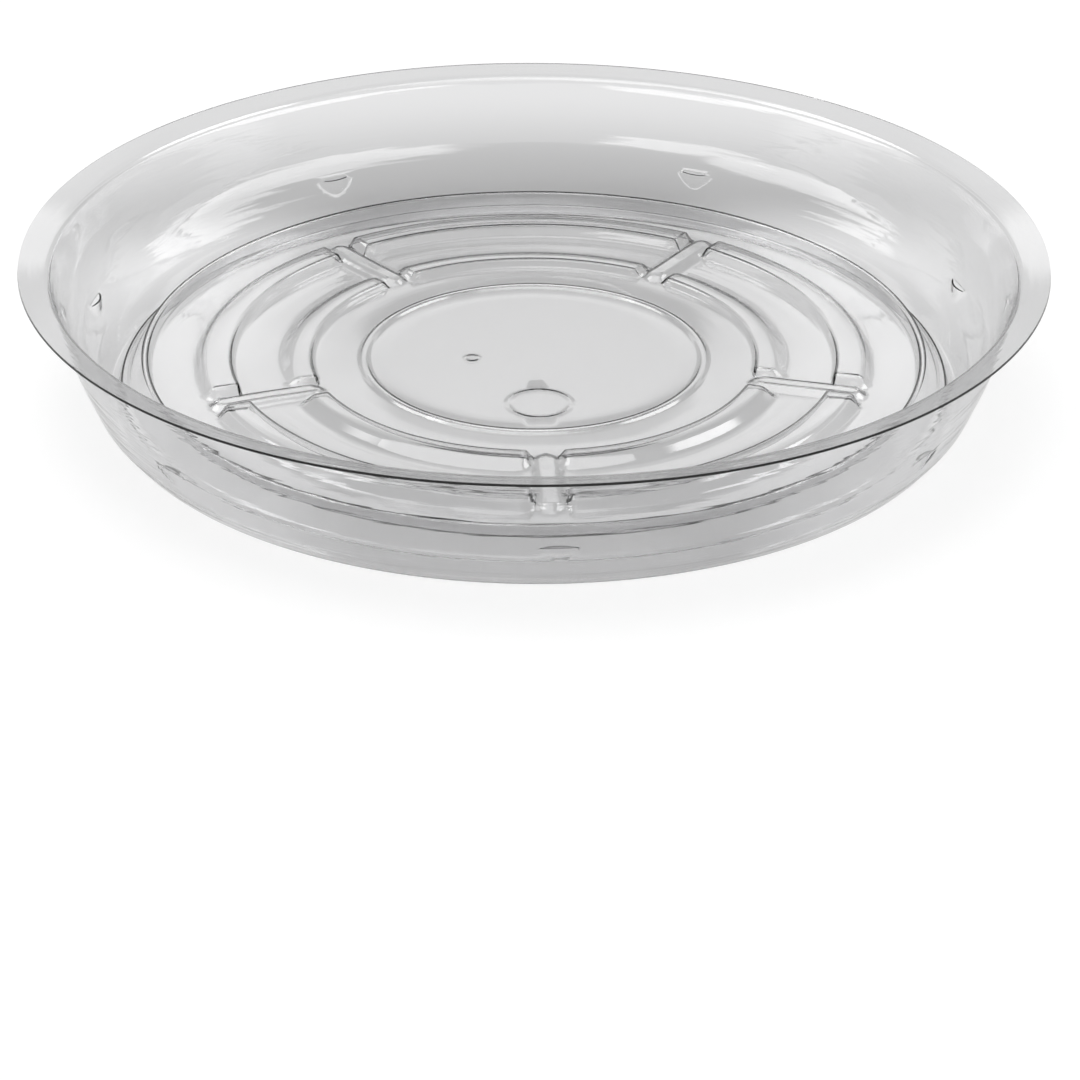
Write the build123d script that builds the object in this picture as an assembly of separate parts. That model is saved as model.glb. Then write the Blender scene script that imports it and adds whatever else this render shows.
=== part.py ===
from build123d import *
import os
from math import atan2, degrees, radians, sqrt, tan

# A clear plant saucer, pressed from one thin plastic sheet. Sizes are in millimetres.
# The origin is the centre of the foot ring, on the surface that the saucer stands on.
# Heights are those of the sheet's upper face, apart from the foot, whose underside is at zero.

# The sheet and the whole saucer
sheet = 0.5
rim_radius = 105.0
saucer_height = 30.0

# The side wall, from the rim inwards and down
flange_width = 6.3
flange_rise = 1.3
wall_run = 7.9
bend_run_share = 0.47
bend_rise_share = 0.58
heel_run = 3.1
heel_height = 4.3

# Inside radius of the sheet where the foot turns up into the wall
heel_bend = 3.0

# The foot ring, and the steps that lead up to the floor over its raised edge
foot_width = 1.6
foot_step_run = 0.9
band_width = 1.6
band_height = 3.8
floor_step_run = 4.5
floor_height = 6.0

# The raised ring along the edge of the floor, steep on its inner side
lip_flank = 0.4
lip_width = 1.2
lip_rise = 3.0

# The small bead that frames the plain disc in the middle of the floor
disc_share = 0.427
bead_width = 2.7
bead_rise = 0.6

# The two rings of raised ridges that the pot stands on
inner_ridge_share = 0.623
inner_ridge_width = 6.6
inner_ridge_rise = 1.8
inner_ridge_flank = 1.7
outer_ridge_share = 0.832
outer_ridge_width = 8.3
outer_ridge_rise = 2.6
outer_ridge_flank = 1.8
ridge_gap = 5.0
ridge_corner = 1.6

# The low radial bars that cross the ridges in their gaps
bar_count = 5
bar_width = 7.0
bar_rise = 1.2
bar_flank = 2.3

# The stacking lugs: crescent ledges low on the wall, which keep stacked saucers apart
lug_count = 7
lug_radius = 6.2
lug_height = 11.2
lug_setback = 2.1

# The first bar and the first lug are at the front. Cuts run this far past the faces they open
front_angle = -90.0
overrun = 0.5

# Radii that follow from the sizes above, from the rim inwards
wall_top_radius = rim_radius - flange_width
heel_radius = wall_top_radius - wall_run
foot_radius = heel_radius - heel_run
foot_inner_radius = foot_radius - foot_width
band_radius = foot_inner_radius - foot_step_run
step_radius = band_radius - band_width
floor_radius = step_radius - floor_step_run
bead_radius = floor_radius * disc_share
wall_top_height = saucer_height - flange_rise


def bead_points():
    """The bead's foot, top and foot, as part of the floor's outline."""
    return [
        (bead_radius, floor_height),
        (bead_radius + bead_width / 2, floor_height + bead_rise),
        (bead_radius + bead_width, floor_height),
    ]


def lip_points():
    """The raised ring's corners, from the edge of the floor to the top of its outer slope."""
    top = floor_height + lip_rise
    crest = floor_radius + lip_flank
    return [
        (floor_radius, floor_height),
        (crest, top),
        (crest + lip_width, top),
    ]


def upper_outline():
    """Half of the section through the sheet's upper face, from the axis to just past the rim."""
    bend_radius = wall_top_radius - wall_run * bend_run_share
    bend_height = wall_top_height - (wall_top_height - heel_height) * bend_rise_share
    flange_slope = flange_rise / flange_width
    return [
        (0, floor_height),
        *bead_points(),
        *lip_points(),
        (step_radius, band_height),
        (band_radius, band_height),
        (foot_inner_radius, sheet),
        (foot_radius, sheet),
        (heel_radius, heel_height),
        (bend_radius, bend_height),
        (wall_top_radius, wall_top_height),
        (rim_radius + overrun, saucer_height + overrun * flange_slope),
    ]


def laid_below(outline, distance):
    """The same outline moved square to itself, down and outwards, with mitred corners."""
    corners = [Vector(*point) for point in outline]
    runs = [(end - start).normalized() for start, end in zip(corners, corners[1:])]
    normals = [Vector(run.Y, -run.X) for run in runs]
    moved = []
    for corner, before, after in zip(corners, normals[:1] + normals, normals + normals[-1:]):
        mitre = (before + after) / (1 + before.dot(after))
        moved.append(corner + mitre * distance)
    return [(corner.X, corner.Y) for corner in moved]


def dish_form(outline, top, skin):
    """The solid that would fill the dish above an outline, turned about the saucer's axis.

    The heel's bends in the sheet's two faces share a centre, so the outer is larger by the skin.
    """
    edge_radius = outline[-1][0]
    section = make_face(Polyline(*outline, (edge_radius, top), (0, top), close=True))
    heel = section.vertices().sort_by_distance(outline[-4])[0]
    section = fillet(heel, heel_bend + skin)
    return revolve(Plane.XZ * section, Axis.Z)


def around(count):
    """Turns that place a number of equal copies about the axis, the first at the front."""
    return [Rot(0, 0, front_angle + turn * 360 / count) for turn in range(count)]


def pads(plan_of, rise, flank, skin):
    """Raised pads with leaning sides, under the sheet or, with a skin, on top of it.

    plan_of gives the plan of the pads, for a distance that their sides stand out by.
    """
    lean = atan2(flank, rise)
    mitre = tan((radians(90) - lean) / 2)
    plan = plan_of(skin * mitre + overrun * tan(lean))
    start = floor_height - sheet + skin - overrun
    return extrude(Pos(0, 0, start) * plan, amount=rise + overrun, taper=degrees(lean))


def ridge_plan(radius, width, spread):
    """A ring cut by the gaps where the bars cross it, with the corners of its ends cut off."""
    ring = Circle(radius + width / 2 + spread) - Circle(radius - width / 2 - spread)
    gap = Pos(radius, 0) * Rectangle(2 * width, ridge_gap - 2 * spread)
    arcs = ring - [turn * gap for turn in around(bar_count)]
    return chamfer(arcs.vertices(), ridge_corner + spread * (2 - sqrt(2)))


def bar_plan(spread):
    """The radial bars, from the inner edge of the inner ridge to the outer edge of the outer one."""
    inner = floor_radius * inner_ridge_share - inner_ridge_width / 2
    outer = floor_radius * outer_ridge_share + outer_ridge_width / 2
    bar = Rectangle(outer - inner + 2 * spread, bar_width + 2 * spread)
    bar = Pos((inner + outer) / 2, 0) * bar
    return Sketch() + [turn * bar for turn in around(bar_count)]


def inner_ridges(skin):
    """The ring of low, narrow ridges."""
    def plan(spread):
        return ridge_plan(floor_radius * inner_ridge_share, inner_ridge_width, spread)

    return pads(plan, inner_ridge_rise, inner_ridge_flank, skin)


def outer_ridges(skin):
    """The ring of taller, wider ridges."""
    def plan(spread):
        return ridge_plan(floor_radius * outer_ridge_share, outer_ridge_width, spread)

    return pads(plan, outer_ridge_rise, outer_ridge_flank, skin)


def bars(skin):
    """The low bars."""
    return pads(bar_plan, bar_rise, bar_flank, skin)


def lugs(skin):
    """Upright round posts that push the leaning wall inwards, from where it meets them up to a ledge."""
    reach = lug_radius + skin
    height = lug_height - sheet + skin
    post = Cylinder(reach, height, align=(Align.CENTER, Align.CENTER, Align.MIN))
    post = Pos(heel_radius + lug_setback + lug_radius, 0, 0) * post
    return Part() + [turn * post for turn in around(lug_count)]


def relief(skin):
    """All that stands up from the plain dish, seen from below or, with a skin, from above."""
    return inner_ridges(skin) + outer_ridges(skin) + bars(skin) + lugs(skin)


def saucer():
    """The pressed sheet: the form under it, less the form above it, trimmed straight at the rim."""
    above = upper_outline()
    below = laid_below(above, sheet)
    top = saucer_height + overrun
    under = dish_form(below, top, sheet) - relief(0)
    over = dish_form(above, top + overrun, 0) - relief(sheet)
    trim = Cylinder(rim_radius, 2 * top)
    return (under - over) & trim


os.makedirs("parts", exist_ok=True)
export_step(saucer(), "parts/saucer.step")
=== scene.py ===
# %% [markdown]
# # A clear plant saucer
# The saucer is one sheet of clear plastic. A maker heats the sheet, draws it over a mould and
# cuts it out at the rim, so every form in it has the same thin wall. This lesson builds that
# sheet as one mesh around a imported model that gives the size, and then finishes it as clear
# plastic on a pale floor.

from math import atan, atan2, cos, hypot, pi, radians, sin

import bmesh
import bpy
from mathutils import Euler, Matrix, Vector


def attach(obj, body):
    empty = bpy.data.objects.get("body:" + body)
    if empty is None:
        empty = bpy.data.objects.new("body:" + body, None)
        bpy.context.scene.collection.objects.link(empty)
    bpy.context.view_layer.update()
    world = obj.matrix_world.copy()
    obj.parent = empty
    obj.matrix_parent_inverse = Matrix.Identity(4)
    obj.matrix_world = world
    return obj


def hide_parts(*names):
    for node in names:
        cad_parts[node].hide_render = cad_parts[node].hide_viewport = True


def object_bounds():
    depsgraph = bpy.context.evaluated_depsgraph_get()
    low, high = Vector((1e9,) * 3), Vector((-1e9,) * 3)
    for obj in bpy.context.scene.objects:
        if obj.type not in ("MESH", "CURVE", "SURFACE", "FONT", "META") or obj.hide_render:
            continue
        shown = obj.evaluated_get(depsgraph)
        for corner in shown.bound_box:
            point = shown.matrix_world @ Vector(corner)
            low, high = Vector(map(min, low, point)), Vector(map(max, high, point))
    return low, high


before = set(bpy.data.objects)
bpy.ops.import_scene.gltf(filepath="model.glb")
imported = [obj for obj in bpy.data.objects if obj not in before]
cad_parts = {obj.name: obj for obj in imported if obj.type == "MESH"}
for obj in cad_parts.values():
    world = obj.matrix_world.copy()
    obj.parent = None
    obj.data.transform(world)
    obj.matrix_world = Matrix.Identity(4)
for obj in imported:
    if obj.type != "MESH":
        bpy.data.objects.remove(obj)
cad_low, cad_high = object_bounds()
MM = 0.001
# The first bar and the first lug lie in this direction
FRONT = -pi / 2
RIM_RADIUS = min(cad_high.x, cad_high.y, -cad_low.x, -cad_low.y)
HEIGHT = cad_high.z
print("packed size, mm:", [round(side / MM, 2) for side in cad_high - cad_low])

# %% [markdown]
# ## Camera
# The photograph looks down on the saucer at about 24 degrees through a long lens. The camera
# stands on that line and turns a little below the rim's centre, so that the saucer lies high in
# the picture, as it does there. Turning the camera keeps the lens unshifted for other views.

# %% Camera
PICTURE = 1080
SENSOR = 36
FOCAL_PIXELS = 4101
RIM_CENTRE_PIXEL = (534.4, 250.4)
CAMERA_DISTANCE = 8 * 105 * MM
CAMERA_ELEVATION = radians(23.87)
CAMERA_AZIMUTH = radians(-3)
CAMERA_ROLL = radians(0.28)


def add_camera():
    """Stands the camera on the photograph's line of sight."""
    data = bpy.data.cameras.new("camera")
    data.sensor_width = SENSOR
    data.lens = SENSOR * FOCAL_PIXELS / PICTURE
    camera = bpy.data.objects.new("camera", data)
    bpy.context.scene.collection.objects.link(camera)
    level = cos(CAMERA_ELEVATION)
    towards = Vector((
        sin(CAMERA_AZIMUTH) * level, -cos(CAMERA_AZIMUTH) * level, sin(CAMERA_ELEVATION),
    ))
    camera.location = Vector((0, 0, HEIGHT)) + towards * CAMERA_DISTANCE
    right = atan((PICTURE / 2 - RIM_CENTRE_PIXEL[0]) / FOCAL_PIXELS)
    down = atan((PICTURE / 2 - RIM_CENTRE_PIXEL[1]) / FOCAL_PIXELS)
    turn = Euler((-down, -right, CAMERA_ROLL)).to_quaternion()
    camera.rotation_mode = "QUATERNION"
    camera.rotation_quaternion = (-towards).to_track_quat("-Z", "Y") @ turn
    bpy.context.scene.camera = camera
    return camera


camera = add_camera()
print("lens, mm:", round(camera.data.lens, 1))

# %% [markdown]
# ## The section of the sheet
# A saucer is a turned form, so its half section is drawn once and spun. The section is the
# upper face of the sheet: a chain of corners, each with the length that its bend takes up on
# both sides. Drawing the ridges in it, too, puts rows of points just where their edges bend.

# %% Sizes of the section
SHEET = 0.5 * MM
FLOOR = 6.0 * MM
BAND = 3.8 * MM
LIP = 9.0 * MM
LEDGE = 11.2 * MM
WALL_TOP = (98.7 * MM, 28.7 * MM)
HEEL = (90.8 * MM, 4.3 * MM)
WALL_BEND = (95.0 * MM, 14.5 * MM)
# How much the flange rises for each millimetre outwards. Its underside, which stands square
# below it, reaches so much further out, as a share of the sheet's thickness
FLANGE_LEAN = 0.21
BEAD_TOP = FLOOR + 0.6 * MM
RIDGES = [
    {"base": (45.4 * MM, 52.6 * MM), "crown": (46.0 * MM, 49.9 * MM), "rise": 1.7 * MM},
    {"base": (61.9 * MM, 70.0 * MM), "crown": (62.5 * MM, 68.1 * MM), "rise": 2.55 * MM},
]


def on_wall(height):
    """The point of the lower wall at a height."""
    share = (height - HEEL[1]) / (WALL_BEND[1] - HEEL[1])
    return HEEL[0] + (WALL_BEND[0] - HEEL[0]) * share, height


def ridge_rows(ridge):
    """The rows of a ridge's four corners."""
    top = FLOOR + ridge["rise"]
    return [
        (ridge["base"][0], FLOOR, 0.45 * MM, 0),
        (ridge["crown"][0], top, 0.75 * MM, 0),
        (ridge["crown"][1], top, 0.9 * MM, 1),
        (ridge["base"][1], FLOOR, 0.7 * MM, 0),
    ]


# Each corner: radius, height, length of its bend, and the cuts in the run that leads to it
SECTION = [
    (0, FLOOR, 0, 0),
    (10.5 * MM, FLOOR, 0, 0),
    (15.2 * MM, FLOOR, 0, 0),
    (28.8 * MM, FLOOR, 0, 0),
    (33.8 * MM, FLOOR, 0.3 * MM, 0),
    (34.6 * MM, BEAD_TOP, 0.3 * MM, 0),
    (35.7 * MM, BEAD_TOP, 0.3 * MM, 0),
    (36.5 * MM, FLOOR, 0.3 * MM, 0),
    (44.2 * MM, FLOOR, 0, 0),
    *ridge_rows(RIDGES[0]),
    (57.0 * MM, FLOOR, 0, 1),
    *ridge_rows(RIDGES[1]),
    (71.6 * MM, FLOOR, 0, 0),
    (79.1 * MM, FLOOR, 0.5 * MM, 0),
    (79.5 * MM, LIP, 0.64 * MM, 0),
    (80.7 * MM, LIP, 0.4 * MM, 0),
    (83.6 * MM, BAND, 0.5 * MM, 0),
    (85.2 * MM, BAND, 0.45 * MM, 0),
    (86.1 * MM, SHEET, 0.5 * MM, 0),
    (87.7 * MM, SHEET, 0.5 * MM, 0),
    (*HEEL, 1.0 * MM, 0),
    (*on_wall(7.4 * MM), 0, 0),
    (*on_wall(LEDGE - 0.2 * MM), 0, 6),
    (*on_wall(LEDGE + 0.2 * MM), 0, 0),
    (*on_wall(LEDGE + 0.6 * MM), 0, 0),
    (*WALL_BEND, 2.7 * MM, 0),
    (*WALL_TOP, 0.9 * MM, 4),
    (RIM_RADIUS - FLANGE_LEAN * SHEET, HEIGHT, 0, 2),
]
# A bend gets two segments, and one more for each turn of this size
SEGMENT_TURN = radians(25)
print("corners in the section:", len(SECTION))

# %% Draw the section


def draw_section(bm):
    """Chains the corners with edges, cuts the long runs and rounds the bends."""
    places = [Vector((radius, 0, height)) for radius, height, _, _ in SECTION]
    corners = [bm.verts.new(place) for place in places]
    runs = [bm.edges.new(ends) for ends in zip(corners, corners[1:])]
    for run, (_, _, _, cuts) in zip(runs, SECTION[1:]):
        if cuts:
            bmesh.ops.subdivide_edges(bm, edges=[run], cuts=cuts)
    for before, place, after, row in zip(places, places[1:], places[2:], SECTION[1:]):
        bend = row[2]
        if bend:
            corner = min(bm.verts, key=lambda vert: (vert.co - place).length)
            turn = (place - before).angle(after - place)
            bmesh.ops.bevel(
                bm, geom=[corner], offset=bend, offset_type="OFFSET", affect="VERTICES",
                segments=2 + round(turn / SEGMENT_TURN), profile=0.5, material=-1,
            )


sheet_mesh = bmesh.new()
draw_section(sheet_mesh)
print("points in the section:", len(sheet_mesh.verts))

# %% [markdown]
# ## Spin
# The section is spun once round the axis. The number of steps divides by five and by seven,
# because the floor has five radial bars and the wall has seven lugs. The steps are then slid
# round the circle towards the bars or the lugs: a turned form doesn't change when its points
# slide round it, and the small forms get more of them.

# %% Spin the section and gather its steps
STEPS = 350
BARS = 5
LUGS = 7
GATHER = 0.62
# Where the steps leave the bars, and where they gather to the lugs, outwards
BARS_END = (72 * MM, 78 * MM)
LUGS_START = (81.7 * MM, 84.5 * MM)
MERGE = 0.001 * MM


def blend(value, start, end):
    """0 before start, 1 after end, and a smooth change between."""
    share = min(max((value - start) / (end - start), 0), 1)
    return share * share * (3 - 2 * share)


def gathered(place):
    """The place slid round its circle, towards the nearest bar or lug."""
    radius = hypot(place.x, place.y)
    angle = atan2(place.y, place.x)
    bars = 1 - blend(radius, *BARS_END)
    lugs = blend(radius, *LUGS_START)
    turn = angle - FRONT
    turn -= GATHER * (bars * sin(BARS * turn) / BARS + lugs * sin(LUGS * turn) / LUGS)
    return Vector((radius * cos(FRONT + turn), radius * sin(FRONT + turn), place.z))


to_front = Euler((0, 0, FRONT)).to_matrix()
bmesh.ops.rotate(sheet_mesh, verts=sheet_mesh.verts, cent=(0, 0, 0), matrix=to_front)
bmesh.ops.spin(
    sheet_mesh, geom=sheet_mesh.verts[:] + sheet_mesh.edges[:], cent=(0, 0, 0), axis=(0, 0, 1),
    angle=2 * pi, steps=STEPS, use_merge=True, use_duplicate=False,
)
bmesh.ops.remove_doubles(sheet_mesh, verts=sheet_mesh.verts, dist=MERGE)
bmesh.ops.recalc_face_normals(sheet_mesh, faces=sheet_mesh.faces)
if sum(face.normal.z for face in sheet_mesh.faces) < 0:
    bmesh.ops.reverse_faces(sheet_mesh, faces=sheet_mesh.faces)
for vert in sheet_mesh.verts:
    vert.co = gathered(vert.co)
print("faces after the spin:", len(sheet_mesh.faces))

# %% [markdown]
# ## Ridges and bars
# Two rings of ridges hold the pot above the water, and five low bars cross them in their gaps.
# The spin has made the ridges whole rings, so they are let down to the floor where a bar
# crosses, with rounded ends. The bars are then pressed up between them.

# %% Sizes of the gaps and bars
RIDGE_GAP = 4.6 * MM
RIDGE_END = 1.9 * MM
BAR = {
    "inner": 44.9 * MM, "outer": 70.6 * MM, "half": 3.6 * MM, "rise": 1.2 * MM, "flank": 2.4 * MM,
}
# How far the corners of ridges and bars are rounded, in widths of the slope beside them
CORNER = 1.6
# The ring of the floor that the ridges and bars lie in
RELIEF = (44 * MM, 71 * MM)
print("length of a bar, mm:", round((BAR["outer"] - BAR["inner"]) / MM, 1))

# %% Let down the gaps and press up the bars


def inside_corner(first, second, corner):
    """How far inside a rounded corner a point lies, from its distances inside the two edges."""
    if first < corner and second < corner:
        return corner - hypot(corner - first, corner - second)
    return min(first, second)


def from_nearest(place, count):
    """How far a place lies along and across the line to the nearest of a number of spokes."""
    spoke = 2 * pi / count
    turn = atan2(place.y, place.x) - FRONT
    turn -= spoke * round(turn / spoke)
    radius = hypot(place.x, place.y)
    return radius * cos(turn), radius * sin(turn)


def ridge_lift(ridge, place, across):
    """What is left of a ridge's height, at a distance across from the nearest bar's middle."""
    radius = place.xy.length
    inner = (radius - ridge["base"][0]) / (ridge["crown"][0] - ridge["base"][0])
    outer = (ridge["base"][1] - radius) / (ridge["base"][1] - ridge["crown"][1])
    end = (abs(across) - RIDGE_GAP / 2) / RIDGE_END
    left = blend(inside_corner(min(inner, outer), end, CORNER), 0, 1)
    if end > CORNER:
        return place.z - FLOOR
    return min(place.z - FLOOR, ridge["rise"] * left)


def bar_lift(along, across):
    """The lift of the nearest bar."""
    side = (BAR["half"] - abs(across)) / BAR["flank"]
    end = min(along - BAR["inner"], BAR["outer"] - along) / BAR["flank"]
    return BAR["rise"] * blend(inside_corner(side, end, CORNER), 0, 1)


def pressed_floor(place):
    """The place on the ridges and bars."""
    along, across = from_nearest(place, BARS)
    lifts = [ridge_lift(ridge, place, across) for ridge in RIDGES]
    return Vector((place.x, place.y, FLOOR + max(bar_lift(along, across), *lifts)))


relief = [vert for vert in sheet_mesh.verts if RELIEF[0] < vert.co.xy.length < RELIEF[1]]
for vert in relief:
    vert.co = pressed_floor(vert.co)
print("points on the ridges and bars:", len(relief))

# %% [markdown]
# ## Mould marks
# The mould leaves two small plain marks in the middle of the floor. The spun faces there are
# long and thin, so only those under a mark are cut up, and then a ring is raised in them.

# %% Raise the mould marks
MARKS = [
    {
        "centre": Vector((0, -22 * MM)), "radius": 6.4 * MM,
        "rise": 0.2 * MM, "width": 0.7 * MM, "cuts": 30,
    },
    {
        "centre": Vector((-12.8 * MM, 0)), "radius": 1.4 * MM,
        "rise": 0.12 * MM, "width": 0.6 * MM, "cuts": 14,
    },
]
# An edge that runs outwards is longer than this, and doesn't start at the axis
SHORTEST_RUN = 1 * MM


def raise_mark(bm, mark):
    """Cuts the faces under a mark and raises its ring."""
    reach = mark["radius"] + 2 * mark["width"]

    def is_under(edge):
        """Whether an edge runs outwards under the mark."""
        inner, outer = sorted(vert.co.xy.length for vert in edge.verts)
        if outer - inner < SHORTEST_RUN or inner < SHORTEST_RUN:
            return False
        if not inner < mark["centre"].length < outer:
            return False
        middle = (edge.verts[0].co.xy + edge.verts[1].co.xy).normalized()
        return middle.dot(mark["centre"]) > 0 and abs(middle.cross(mark["centre"])) < reach

    runs = [edge for edge in bm.edges if is_under(edge)]
    bmesh.ops.subdivide_edges(bm, edges=runs, cuts=mark["cuts"], use_grid_fill=True)
    for vert in bm.verts:
        away = abs((vert.co.xy - mark["centre"]).length - mark["radius"])
        if away < mark["width"]:
            vert.co.z += mark["rise"] * (1 - blend(away, 0, mark["width"]))


for mark in MARKS:
    raise_mark(sheet_mesh, mark)
print("faces with the marks:", len(sheet_mesh.faces))

# %% [markdown]
# ## Uneven floor
# A thin drawn sheet is never quite true. The floor and its raised ring rise and fall by about a
# tenth of a millimetre, slowly round the saucer and faster outwards, which bends the reflections.

# %% Make the floor a little uneven
UNEVEN = 0.045 * MM
# Each slow wave: how often it comes round the saucer, its height as a share, and where it starts
SLOW_WAVES = [(3, 1, 1.1), (7, 0.6, 0.4), (13, 0.35, 2)]
# The wave outwards: its length for each radian, and how far, how often and from where it wanders
# round the saucer
OUTWARD_WAVE = 3.1 * MM
WANDER = (1.5, 2, 0.7)
# Where the unevenness sets in, outwards, and where it ends
UNEVEN_START = (34 * MM, 50 * MM)
UNEVEN_END = (81 * MM, 84 * MM)


def unevenness(place):
    """How far a place inside the foot is raised or lowered."""
    radius = place.xy.length
    turn = atan2(place.y, place.x)
    slow = sum(share * sin(count * turn + start) for count, share, start in SLOW_WAVES)
    across = sin(radius / OUTWARD_WAVE + WANDER[0] * sin(WANDER[1] * turn + WANDER[2]))
    share = blend(radius, *UNEVEN_START) * (1 - blend(radius, *UNEVEN_END))
    return UNEVEN * share * (slow + across)


changes = [unevenness(vert.co) for vert in sheet_mesh.verts]
for vert, change in zip(sheet_mesh.verts, changes):
    vert.co = vert.co + Vector((0, 0, change))
print("unevenness, mm:", round(min(changes) / MM, 3), "to", round(max(changes) / MM, 3))

# %% [markdown]
# ## Stacking lugs
# Low on the wall seven crescent ledges stand inwards. The next saucer in a stack lands on them
# and doesn't jam. Each is an upright round that the leaning wall runs into, so its foot ends in
# a curve and its top in a flat crescent.

# %% Push in the lugs
LUG_RADIUS = 6.7 * MM
LUG_CENTRE = 99.1 * MM
LUG_HALF = 4.4 * MM
SOFTNESS = 0.35 * MM
# The wall's points that a lug can move: outside this radius, and up to this far over the ledge
LUG_ZONE = 89 * MM
LEDGE_REACH = 0.3 * MM


def soft_min(first, second, softness):
    """The smaller of two values, with a rounded change from one to the other."""
    share = min(max(0.5 + (second - first) / (2 * softness), 0), 1)
    return second + (first - second) * share - softness * share * (1 - share)


def pushed_in(place):
    """The place moved on to the lug's upright face or its flat ledge, where one is near."""
    along, across = from_nearest(place, LUGS)
    if abs(across) >= LUG_HALF:
        return place
    face = LUG_CENTRE - (LUG_RADIUS ** 2 - across ** 2) ** 0.5
    wall = on_wall(LEDGE)[0]
    if place.z < LEDGE:
        inwards = soft_min(along, face, SOFTNESS) / along
        return place * Vector((inwards, inwards, 1))
    if face < wall:
        return Vector((place.x, place.y, LEDGE))
    return place


moved = 0
for vert in sheet_mesh.verts:
    if HEEL[1] < vert.co.z < LEDGE + LEDGE_REACH and vert.co.xy.length > LUG_ZONE:
        place = pushed_in(vert.co)
        moved += place != vert.co
        vert.co = place
print("points moved for the lugs:", moved)

# %% [markdown]
# ## Thickness
# The face gets the sheet's thickness below it, at the same distance everywhere, and the two
# faces are joined at the cut rim. Edges that turn sharply, as at the cut, stay crisp.

# %% Give the sheet its thickness
CRISP = radians(50)
bmesh.ops.solidify(sheet_mesh, geom=sheet_mesh.faces[:], thickness=SHEET)
for face in sheet_mesh.faces:
    face.smooth = True
for edge in sheet_mesh.edges:
    edge.smooth = edge.calc_face_angle(0) < CRISP
volume = sheet_mesh.calc_volume() / MM ** 3
print("volume, cubic mm:", round(volume), "faces:", len(sheet_mesh.faces))

# %% Make the sheet a piece
pressed = bpy.data.meshes.new("pressed_sheet")
sheet_mesh.to_mesh(pressed)
sheet_mesh.free()
pressed_sheet = bpy.data.objects.new("pressed_sheet", pressed)
bpy.context.scene.collection.objects.link(pressed_sheet)
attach(pressed_sheet, "root")
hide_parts("saucer")
print("points in the piece:", len(pressed.vertices))

# %% [markdown]
# ## Sums in nodes
# The finish, the floor and the room all do sums in their nodes. Each of these helpers makes one
# Math, Vector Math or Map Range node, and takes numbers or the outputs of other nodes.

# %% Helpers for sums in nodes


def fill(links, sockets, values):
    """Puts a number in each socket, or links it to another node's output."""
    for socket, value in zip(sockets, values):
        if isinstance(value, bpy.types.NodeSocket):
            links.new(value, socket)
        else:
            socket.default_value = value


def maths(nodes, links, operation, *values):
    """The result of a Math node."""
    node = nodes.new("ShaderNodeMath")
    node.operation = operation
    fill(links, node.inputs, values)
    return node.outputs["Value"]


def vector_maths(nodes, links, operation, *values):
    """A Vector Math node."""
    node = nodes.new("ShaderNodeVectorMath")
    node.operation = operation
    fill(links, node.inputs, values)
    return node


def map_range(nodes, links, value, start, end, low, high, interpolation="LINEAR"):
    """A value that goes from low to high, as another goes from start to end."""
    node = nodes.new("ShaderNodeMapRange")
    node.interpolation_type = interpolation
    for name, number in zip(("From Min", "From Max", "To Min", "To Max"), (start, end, low, high)):
        node.inputs[name].default_value = number
    links.new(value, node.inputs["Value"])
    return node.outputs["Result"]


print("helpers:", [helper.__name__ for helper in (fill, maths, vector_maths, map_range)])

# %% [markdown]
# ## Clear plastic
# The sheet lets light through and bends it, so it is a Principled shader with full
# transmission, and its volume dims the light a little on the way. Light that runs inside the
# sheet round a bend goes far, so the bends darken to thin lines while the flats stay clear. A
# drawn sheet is never quite even: low waves that run round the saucer bend its reflections, and
# a faint haze dulls them.

# %% Waves and haze of the sheet
# The waves run round the saucer: their length across it, how often they change around it, and
# where they set in outwards, since the plain disc in the middle is calm
DRAWN_ACROSS = 2.5 * MM
DRAWN_AROUND = 3
DRAWN_FROM = (25 * MM, 60 * MM)
DRAWN_DETAIL = 2
HAZE_SCALE = 35
HAZE_DETAIL = 4


def noise(nodes, links, place, scale, detail):
    """A noise from 0 to 1 at a place."""
    texture = nodes.new("ShaderNodeTexNoise")
    texture.inputs["Scale"].default_value = scale
    texture.inputs["Detail"].default_value = detail
    links.new(place, texture.inputs["Vector"])
    return texture.outputs["Fac"]


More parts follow.
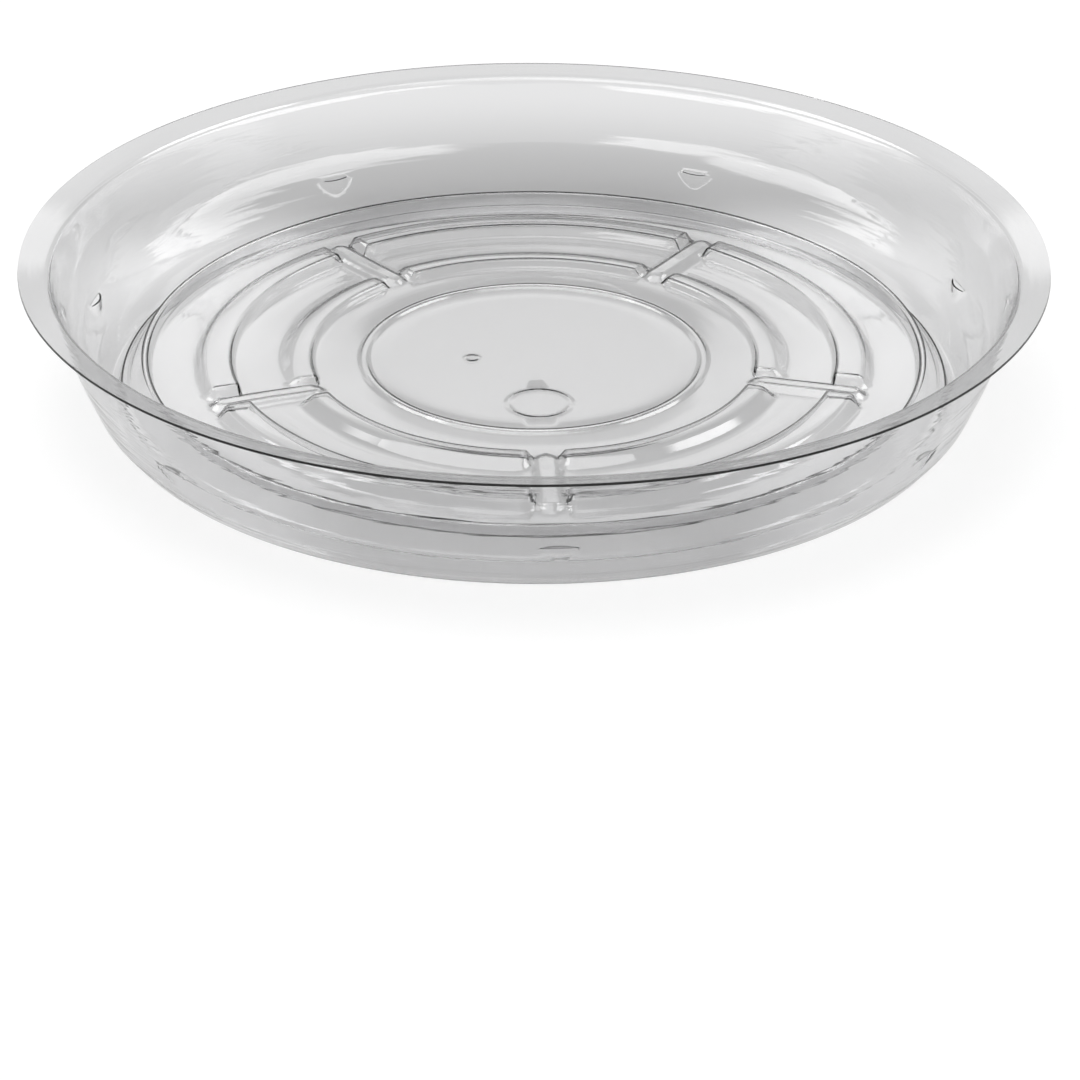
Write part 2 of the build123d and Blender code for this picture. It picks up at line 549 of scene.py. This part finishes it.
def sheet_surface():
    """A node group that gives the height of the sheet's waves and the mask of its haze."""
    group = bpy.data.node_groups.new("drawn_sheet", "ShaderNodeTree")
    group.interface.new_socket("Vector", in_out="INPUT", socket_type="NodeSocketVector")
    group.interface.new_socket("Height", in_out="OUTPUT", socket_type="NodeSocketFloat")
    group.interface.new_socket("Haze", in_out="OUTPUT", socket_type="NodeSocketFloat")
    nodes, links = group.nodes, group.links
    place = nodes.new("NodeGroupInput").outputs["Vector"]
    end = nodes.new("NodeGroupOutput")
    parts = nodes.new("ShaderNodeSeparateXYZ")
    links.new(place, parts.inputs["Vector"])
    flat = nodes.new("ShaderNodeCombineXYZ")
    links.new(parts.outputs["X"], flat.inputs["X"])
    links.new(parts.outputs["Y"], flat.inputs["Y"])
    radius = vector_maths(nodes, links, "LENGTH", flat.outputs["Vector"]).outputs["Value"]
    towards = vector_maths(nodes, links, "NORMALIZE", flat.outputs["Vector"]).outputs["Vector"]
    around = vector_maths(nodes, links, "SCALE", towards)
    around.inputs["Scale"].default_value = DRAWN_AROUND
    outwards = maths(nodes, links, "ADD", radius, parts.outputs["Z"])
    lift = nodes.new("ShaderNodeCombineXYZ")
    links.new(maths(nodes, links, "DIVIDE", outwards, DRAWN_ACROSS), lift.inputs["Z"])
    drawn = vector_maths(nodes, links, "ADD", around.outputs["Vector"], lift.outputs["Vector"])
    waves = noise(nodes, links, drawn.outputs["Vector"], 1, DRAWN_DETAIL)
    calm = map_range(nodes, links, radius, *DRAWN_FROM, 0, 1)
    links.new(maths(nodes, links, "MULTIPLY", waves, calm), end.inputs["Height"])
    links.new(noise(nodes, links, place, HAZE_SCALE, HAZE_DETAIL), end.inputs["Haze"])
    return group


surface = sheet_surface()
print("nodes in the waves and haze:", len(surface.nodes))

# %% Finish of the sheet
TINT = (0.995, 0.995, 1, 1)
REFRACTION = 1.5
WAVE_HEIGHT = 0.028 * MM
# The haze noise that counts as none and as full, and how rough the sheet is there
HAZE_MASK = (0.35, 0.7)
HAZE_ROUGHNESS = (0, 0.04)
# How fast the plastic dims light on its way through it, for each metre
DIMMING = 230


def clear_plastic():
    """The clear plastic of the sheet."""
    material = bpy.data.materials.new("clear_sheet")
    material.use_nodes = True
    nodes, links = material.node_tree.nodes, material.node_tree.links
    shader = nodes["Principled BSDF"]
    shader.inputs["Base Color"].default_value = TINT
    shader.inputs["Transmission Weight"].default_value = 1
    shader.inputs["IOR"].default_value = REFRACTION
    place = nodes.new("ShaderNodeTexCoord")
    drawn = nodes.new("ShaderNodeGroup")
    drawn.node_tree = surface
    links.new(place.outputs["Object"], drawn.inputs["Vector"])
    rough = map_range(nodes, links, drawn.outputs["Haze"], *HAZE_MASK, *HAZE_ROUGHNESS)
    links.new(rough, shader.inputs["Roughness"])
    bump = nodes.new("ShaderNodeBump")
    bump.inputs["Strength"].default_value = 1
    bump.inputs["Distance"].default_value = WAVE_HEIGHT
    links.new(drawn.outputs["Height"], bump.inputs["Height"])
    links.new(bump.outputs["Normal"], shader.inputs["Normal"])
    dims = nodes.new("ShaderNodeVolumeAbsorption")
    dims.inputs["Color"].default_value = (0, 0, 0, 1)
    dims.inputs["Density"].default_value = DIMMING
    links.new(dims.outputs["Volume"], nodes["Material Output"].inputs["Volume"])
    return material


pressed_sheet.data.materials.append(clear_plastic())
print("finish:", [material.name for material in pressed_sheet.data.materials])

# %% [markdown]
# ## Floor
# Clear plastic shows by what it bends and mirrors. The floor is partly lit and partly gives its
# own white to the eye, so it stays white and still takes a soft shadow. Through the plastic it
# is seen a little darker, and there its own white carries painted shade and light: less of it
# under the saucer, a painted shadow behind the saucer, and painted light to the left and right
# under it, where the walls throw light.

# %% How white the floor is
FLOOR_HALF_SIDE = 3
# Each: the colour that the lights fall on, and the white that the floor adds of its own
FLOOR_STRAIGHT = (0.25, 0.8)
FLOOR_THROUGH = (0.35, 0.43)
# How much whiter the floor is outside the saucer, which leaves painted shade under it, and where
# that starts and ends outwards
PAINTED_DARK_UNDER = 0.11
OUTSIDE_START = (88 * MM, 104 * MM)
# The painted shadow behind the saucer: the white that it takes away, where it fades outwards,
# and where it sets in to the back
PAINTED_SHADE = 0.3
SHADE_END = (165 * MM, 108 * MM)
SHADE_BACK = (60 * MM, 100 * MM)
# Painted light on the floor under the saucer, to the left and right, where the walls throw light
PAINTED_SIDE_LIGHT = 0.2
SIDES_START = (30 * MM, 75 * MM)
SIDES_END = (118 * MM, 96 * MM)


def step_up(nodes, links, value, start, end, strength):
    """A smooth rise of a value from nothing at the start to a strength at the end."""
    return map_range(nodes, links, value, start, end, 0, strength, "SMOOTHSTEP")


def either_value(nodes, links, choice, first, second):
    """The first value where the choice is 0 and the second where it is 1."""
    mix = nodes.new("ShaderNodeMix")
    fill(links, (mix.inputs["Factor"], mix.inputs["A"], mix.inputs["B"]), (choice, first, second))
    return mix.outputs["Result"]


def seen_through(nodes, links):
    """Two masks: what the eye sees straight or by way of the plastic, and what it sees straight."""
    path = nodes.new("ShaderNodeLightPath")
    straight = path.outputs["Is Camera Ray"]
    seen = straight
    for output in ("Is Glossy Ray", "Is Transmission Ray"):
        seen = maths(nodes, links, "MAXIMUM", seen, path.outputs[output])
    # The depth is a whole number, and 0 until the light comes by way of a dull surface
    direct = maths(nodes, links, "LESS_THAN", path.outputs["Diffuse Depth"], 0.5)
    return maths(nodes, links, "MULTIPLY", seen, direct), straight


def white_with_painted_shade_and_light(nodes, links):
    """The white that the floor adds where it is seen through plastic, with painted shade and light.
    """
    place = nodes.new("ShaderNodeTexCoord").outputs["Object"]
    away = vector_maths(nodes, links, "LENGTH", place).outputs["Value"]
    parts = nodes.new("ShaderNodeSeparateXYZ")
    links.new(place, parts.inputs["Vector"])
    # Less of the floor's own white under the saucer than outside it: painted shade
    outside = step_up(nodes, links, away, *OUTSIDE_START, 1)
    # Painted shadow behind the saucer, taken out of the floor's own white
    ends = step_up(nodes, links, away, *SHADE_END, 1)
    back = step_up(nodes, links, parts.outputs["Y"], *SHADE_BACK, -PAINTED_SHADE)
    shade = maths(nodes, links, "MULTIPLY", ends, back)
    change = maths(nodes, links, "ADD", shade, PAINTED_DARK_UNDER)
    # Painted light on the floor under the saucer, to the left and right
    sideways = maths(nodes, links, "ABSOLUTE", parts.outputs["X"])
    sides = step_up(nodes, links, sideways, *SIDES_START, PAINTED_SIDE_LIGHT)
    within = step_up(nodes, links, away, *SIDES_END, 1)
    painted_sides = maths(nodes, links, "MULTIPLY", sides, within)
    white = maths(nodes, links, "ADD", painted_sides, FLOOR_THROUGH[1])
    return maths(nodes, links, "ADD", maths(nodes, links, "MULTIPLY", outside, change), white)


print("white of its own, straight and through:", FLOOR_STRAIGHT[1], FLOOR_THROUGH[1])

# %% Floor


def floor_finish():
    """A dull pale surface that adds its own white to what the eye sees."""
    material = bpy.data.materials.new("floor")
    material.use_nodes = True
    nodes, links = material.node_tree.nodes, material.node_tree.links
    shader = nodes["Principled BSDF"]
    shader.inputs["Roughness"].default_value = 1
    shader.inputs["Specular IOR Level"].default_value = 0
    shader.inputs["Emission Color"].default_value = (1, 1, 1, 1)
    seen, straight = seen_through(nodes, links)
    colour = either_value(nodes, links, straight, FLOOR_THROUGH[0], FLOOR_STRAIGHT[0])
    links.new(colour, shader.inputs["Base Color"])
    # Through the plastic, the floor's own white carries the painted shade and light
    white = either_value(nodes, links, straight, white_with_painted_shade_and_light(nodes, links), FLOOR_STRAIGHT[1])
    shown = maths(nodes, links, "MULTIPLY", seen, white)
    links.new(shown, shader.inputs["Emission Strength"])
    return material


def add_floor():
    """A wide pale floor at the saucer's foot."""
    bm = bmesh.new()
    bmesh.ops.create_grid(bm, x_segments=1, y_segments=1, size=FLOOR_HALF_SIDE)
    bmesh.ops.translate(bm, verts=bm.verts, vec=(0, 0, cad_low.z))
    data = bpy.data.meshes.new("floor")
    bm.to_mesh(data)
    bm.free()
    floor = bpy.data.objects.new("floor", data)
    bpy.context.scene.collection.objects.link(floor)
    floor.data.materials.append(floor_finish())


add_floor()
print("floor's side, m:", 2 * FLOOR_HALF_SIDE, "at height", round(cad_low.z, 4))

# %% [markdown]
# ## Soft light
# One wide soft light overhead, a little to the left and behind, gives the floor its soft shadow.

# %% Soft light overhead
SOFTBOX_PLACE = Vector((-0.3, 0.3, 2.0))
SOFTBOX_SIDE = 1.6
SOFTBOX_POWER = 22


def add_softbox():
    """A square soft light overhead, turned to the saucer."""
    data = bpy.data.lights.new("overhead", "AREA")
    data.shape = "RECTANGLE"
    data.size = data.size_y = SOFTBOX_SIDE
    data.energy = SOFTBOX_POWER
    light = bpy.data.objects.new("overhead", data)
    bpy.context.scene.collection.objects.link(light)
    light.location = SOFTBOX_PLACE
    light.rotation_mode = "QUATERNION"
    light.rotation_quaternion = (-SOFTBOX_PLACE).to_track_quat("-Z", "Y")
    light.visible_camera = False
    return light


softbox = add_softbox()
print("softbox, W:", softbox.data.energy, "at m:", [round(side, 2) for side in SOFTBOX_PLACE])

# %% [markdown]
# ## Room
# The room lights the floor evenly and is white to the camera, but the plastic mirrors and bends
# a studio: oval panels of soft light in front, behind, above and at the sides, with darkness
# between them, which draws the thin dark lines.

# %% Panels of the studio
ROOM_LIGHT = 0.62
ROOM_DARK = 0.01
# Each oval panel of light in the mirrored studio: its azimuth from the front, half its width, its
# elevation and half its height in degrees, its lean, the share of its edge, and its strength
STUDIO_PANELS = [
    (180, 40, 5, 26, 0, 0.3, 0.42),
    (180, 60, 25.9, 1.9, 0, 1.3, 0.8),
    (177, 16, 36, 8, 0, 0.6, 0.45),
    (0, 100, 0, 14, 0, 0.1, 0.8),
    (100, 30, 0, 8, 0, 0.4, 0.8),
    (-100, 30, 0, 8, 0, 0.4, 0.8),
    (66, 46, 10.6, 3.4, -0.105, 0.2, 2.8),
    (-42, 20, 10.4, 1.6, 0.1, 0.3, 2.8),
    (-77, 27, 9.6, 3.2, 0.13, 0.2, 2.8),
    (105, 25, 48, 12, 0, 0.3, 5.0),
    (-105, 25, 48, 12, 0, 0.3, 5.0),
    (0, 40, 62, 8, 0, 0.3, 1.6),
]


def panel(nodes, links, direction, elevation, row):
    """How bright one oval panel of light is in each direction."""
    azimuth, half, middle, tall = [radians(value) for value in row[:4]]
    lean, soft, strength = row[4:]
    ahead = (sin(azimuth), -cos(azimuth), 0)
    aside = (cos(azimuth), sin(azimuth), 0)
    ways = [
        vector_maths(nodes, links, "DOT_PRODUCT", direction, way).outputs["Value"]
        for way in (aside, ahead)
    ]
    turn = maths(nodes, links, "ARCTAN2", *ways)
    place = nodes.new("ShaderNodeCombineXYZ")
    links.new(maths(nodes, links, "MULTIPLY", turn, 1 / half), place.inputs["X"])
    over = maths(nodes, links, "ADD", elevation, -middle)
    above = maths(nodes, links, "MULTIPLY", over, 1 / tall)
    leaning = maths(nodes, links, "MULTIPLY", turn, -lean / tall)
    links.new(maths(nodes, links, "ADD", above, leaning), place.inputs["Y"])
    away = vector_maths(nodes, links, "LENGTH", place.outputs["Vector"]).outputs["Value"]
    return step_up(nodes, links, away, 1 + soft, 1, strength)


print("panels in the studio:", len(STUDIO_PANELS))

# %% Room


def mirrored_studio(nodes, links):
    """How bright the studio is in each direction, as the plastic mirrors it."""
    direction = nodes.new("ShaderNodeTexCoord").outputs["Generated"]
    parts = nodes.new("ShaderNodeSeparateXYZ")
    links.new(direction, parts.inputs["Vector"])
    elevation = maths(nodes, links, "ARCSINE", parts.outputs["Z"])
    total = ROOM_DARK
    for row in STUDIO_PANELS:
        light = panel(nodes, links, direction, elevation, row)
        total = maths(nodes, links, "ADD", light, total)
    return total


def add_room():
    """An even room for lighting, white to the camera, that the plastic sees as a studio."""
    world = bpy.data.worlds.new("room")
    world.use_nodes = True
    nodes, links = world.node_tree.nodes, world.node_tree.links
    seen, straight = seen_through(nodes, links)
    inside = either_value(nodes, links, seen, ROOM_LIGHT, mirrored_studio(nodes, links))
    shown = either_value(nodes, links, straight, inside, 1)
    background = nodes["Background"]
    background.inputs["Color"].default_value = (1, 1, 1, 1)
    links.new(shown, background.inputs["Strength"])
    bpy.context.scene.world = world
    return world


room = add_room()
bpy.context.scene.view_settings.view_transform = "Standard"
print("nodes in the room:", len(room.node_tree.nodes))
